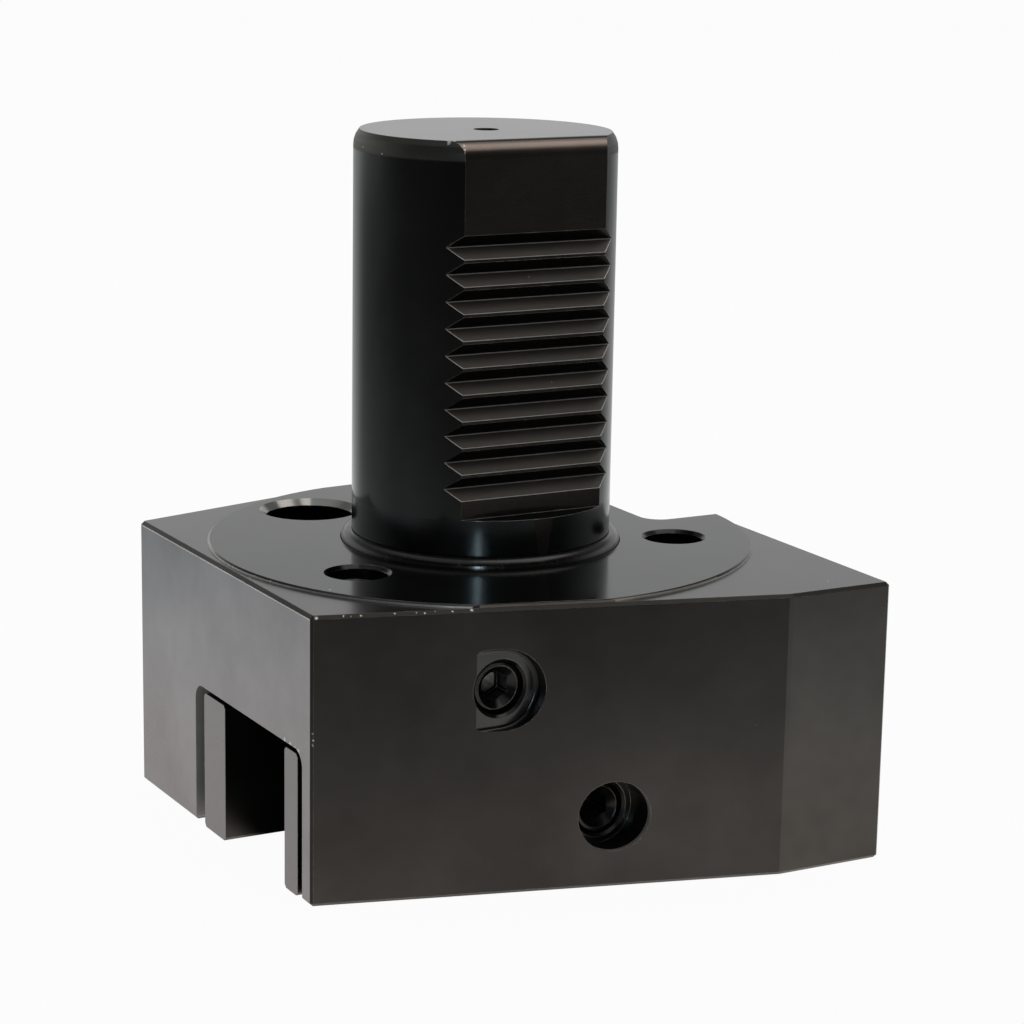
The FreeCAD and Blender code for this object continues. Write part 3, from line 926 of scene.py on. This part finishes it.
@dataclass
class Studio:
    """Camera at the photograph's place, pale floor, soft lamps and a pale surrounding."""

    camera_place: Triple = (-0.207089, -0.387223, 0.105066)
    camera_azimuth: float = 28.776
    camera_drop: float = 12.978
    camera_roll: float = 0.978
    focal_length: float = 102.01
    film_width: float = 36.0
    floor_height: float = -0.0435
    floor_width: float = 8.0
    floor_tone: float = 0.8
    floor_white: float = 0.96
    floor_gloss: float = 0.8
    pool_radius: float = 0.15
    pool_least: float = 0.01
    pool_front: float = 0.95
    pool_back: float = 1.6
    pool_turn: Span = (-1.05, -0.45)
    pool_warmth: Span = (0.15, 0.7)
    warm_light: Triple = (1.0, 0.94, 0.89)
    cool_light: Triple = (0.97, 1.0, 0.99)
    horizon: float = 0.3
    horizon_turn: Span = (0.55, 0.85)
    flank_light: float = 0.14
    flank_turn: Span = (-0.4, 0.3)
    slot_shade_x: Span = (0.046, 0.036)
    slot_shade_y: Span = (0.024, 0.018)
    slot_middle_y: float = -0.0085
    backdrop: float = 0.65
    backdrop_turn: Span = (-0.35, 0.55)
    room: float = 0.06
    ceiling_dimming: float = 0.7
    ceiling_rise: Span = (0.28, 0.45)
    zenith: float = 0.45
    zenith_rise: Span = (0.6, 0.9)
    lamps: tuple[Lamp, ...] = (
        Lamp("back_left_panel", (-0.55, 0.95, 0.13), 0.9, 0.34, radiance=5.0, colour=(0.98, 1.0, 1.0), glossy=False),
        Lamp("overhead_panel", (0.25, -0.12, 0.85), 0.7, 0.7, radiance=0.9, colour=(1.0, 0.93, 0.86)),
        Lamp("front_strip", (-0.46, -0.80, 0.15), 0.05, 0.38, radiance=20.0, colour=(0.7, 0.9, 1.0), diffuse=False),
    )

    def build(self) -> None:
        """Make everything that isn't part of the object."""
        self._camera()
        self._floor()
        self._world()
        for lamp in self.lamps:
            lamp.build()
            log.info("lamp %s", lamp.name)

    def _camera(self) -> None:
        """Camera with the photograph's place, direction and field of view."""
        data = bpy.data.cameras.new("photo_camera")
        data.sensor_width = self.film_width
        data.lens = self.focal_length
        data.clip_start, data.clip_end = 0.01, 20.0
        camera = bpy.data.objects.new("photo_camera", data)
        bpy.context.scene.collection.objects.link(camera)
        turn = Matrix.Rotation(-math.radians(self.camera_azimuth), 4, "Z")
        tilt = Matrix.Rotation(math.radians(90.0 - self.camera_drop), 4, "X")
        roll = Matrix.Rotation(math.radians(self.camera_roll), 4, "Z")
        camera.matrix_world = Matrix.Translation(self.camera_place) @ turn @ tilt @ roll
        bpy.context.scene.camera = camera

    def _behind(self, graph: Graph, direction: bpy.types.NodeSocket) -> Value:
        """Cosine between a direction and straight away from the camera, on plan."""
        azimuth = math.radians(self.camera_azimuth)
        away = (math.sin(azimuth), math.cos(azimuth), 0.0)
        return graph.value("ShaderNodeVectorMath", {"operation": "DOT_PRODUCT"}, {0: direction, 1: away}, "Value")

    def _floor(self) -> None:
        """Pale floor, seen nearly white; in reflections it glows with a painted pool of light round the object and a
        painted shadow under the block.
        """
        Bench.clear()
        bpy.ops.mesh.primitive_plane_add(size=self.floor_width, location=(0.0, 0.0, self.floor_height))
        floor = bpy.context.object
        floor.name = "floor"
        material, graph = new_material("pale_floor")
        place = graph.add("ShaderNodeTexCoord").outputs["Object"]
        x, y, _ = graph.parts(place)
        reach = (x * x + y * y).root()
        # Painted pool of light for the floor's glow in reflections, brighter behind the object.
        fall = 1.0 / (1.0 + (reach * reach) * (1.0 / self.pool_radius**2))
        pool = self.pool_least + (1.0 - self.pool_least) * fall * fall.root()
        behind = self._behind(graph, place) / reach.at_least(0.001)
        beside = abs(x).rise(*self.slot_shade_x)
        # Painted shadow under the block in the floor's glow.
        painted_shadow_under_block = beside * abs(y - self.slot_middle_y).rise(*self.slot_shade_y)
        level = pool * (self.pool_front + self.pool_back * behind.rise(*self.pool_turn))
        level = level + self.horizon * behind.rise(*self.horizon_turn)
        level = level + self.flank_light * behind.rise(*self.flank_turn)
        level = (level * (1.0 - painted_shadow_under_block)).at_most(1.0)
        warm = graph.blend(pool.rise(*self.pool_warmth), self.cool_light, self.warm_light)
        path = graph.add("ShaderNodeLightPath")
        matte = graph.add("ShaderNodeBsdfDiffuse", inputs={"Color": (*(self.floor_tone,) * 3, 1.0)})
        pooled = graph.blend(level, (0.0, 0.0, 0.0), warm)
        glow = graph.add("ShaderNodeEmission", inputs={"Color": pooled, "Strength": 1.0})
        glossy = Value(graph, path.outputs["Is Glossy Ray"]) * self.floor_gloss
        lit = graph.add("ShaderNodeMixShader", inputs={0: glossy, 1: matte.outputs[0], 2: glow.outputs[0]})
        white = graph.add("ShaderNodeEmission", inputs={"Color": (1.0, 1.0, 1.0, 1.0), "Strength": 1.0})
        seen = Value(graph, path.outputs["Is Camera Ray"]) * self.floor_white
        both = graph.add("ShaderNodeMixShader", inputs={0: seen, 1: lit.outputs[0], 2: white.outputs[0]})
        graph.add("ShaderNodeOutputMaterial", inputs={"Surface": both.outputs[0]})
        floor.data.materials.append(material)

    def _world(self) -> None:
        """Surrounding that the camera sees white and the object sees brightest behind itself and overhead."""
        world = bpy.data.worlds.new("studio")
        bpy.context.scene.world = world
        world.use_nodes = True
        graph = Graph(world.node_tree)
        direction = graph.add("ShaderNodeTexCoord").outputs["Generated"]
        _, _, up = graph.parts(direction)
        behind = self._behind(graph, direction)
        level = self.room + (self.backdrop - self.room) * behind.rise(*self.backdrop_turn)
        level = level * (1.0 - self.ceiling_dimming * up.rise(*self.ceiling_rise))
        level = level + (self.zenith - level) * up.rise(*self.zenith_rise)
        path = graph.add("ShaderNodeLightPath")
        seen = Value(graph, path.outputs["Is Camera Ray"])
        strength = level + seen * (1.0 - level)
        inputs = {"Color": (1.0, 1.0, 1.0, 1.0), "Strength": strength}
        background = graph.add("ShaderNodeBackground", inputs=inputs)
        graph.add("ShaderNodeOutputWorld", inputs={"Surface": background.outputs[0]})


def dress(node: str, material: bpy.types.Material) -> None:
    """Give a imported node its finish."""
    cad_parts[node].material_slots[0].material = material
    log.info("dressed %s in %s", node, material.name)


def write_sizes() -> None:
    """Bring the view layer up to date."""
    bpy.context.view_layer.update()


SCREWS = (
    SetScrew("front_plug", "gallery_plug_screw", "holder", (0.0, -1.0, 0.0), 4.0, 1.25),
    SetScrew("port_plug", "port_plug_screw", "holder", (0.0, 0.0, 1.0), 5.0, 1.0),
    SetScrew("coolant_jet", "jet_screw", "holder", (1.0, 0.0, 0.0), 4.0, 1.25, bore=2.5),
    SetScrew("support_screw", "support_set_screw", "support", (0.0, -1.0, 0.0), 4.0, 1.25),
    *(
        SetScrew(f"clamp_screw_{number}", f"clamp_set_screw_{number}", "clamp", (0.0, 1.0, 0.0), 6.0, 1.75)
        for number in (1, 2, 3)
    ),
)


def main() -> None:
    """Build the studio, the finishes and the pieces in order."""
    logging.basicConfig(level=logging.INFO)
    bpy.context.scene.view_settings.view_transform = "Standard"
    bpy.context.view_layer.update()
    Studio().build()
    dress("holder_body", HolderFinish().build())
    # The plate's and the bar's end faces are laid lighter: painted light.
    for node, name in (("support_plate", "blackened_plate_steel"), ("clamping_bar", "blackened_bar_steel")):
        dress(node, LooseFinish(name, Surface.MILLED, 0.5, ends=Surface.END).build())
    ring = SealRing().build(RubberFinish().build())
    log.info("built %s", ring.name)
    screw_finish = LooseFinish("blackened_screw_steel", Surface.SCREW, 0.8, (1.0, 1.0, 1.0)).build()
    for screw in SCREWS:
        log.info("built %s with %d faces", screw.name, len(screw.build(screw_finish).data.polygons))
    write_sizes()


if __name__ == "__main__":
    main()
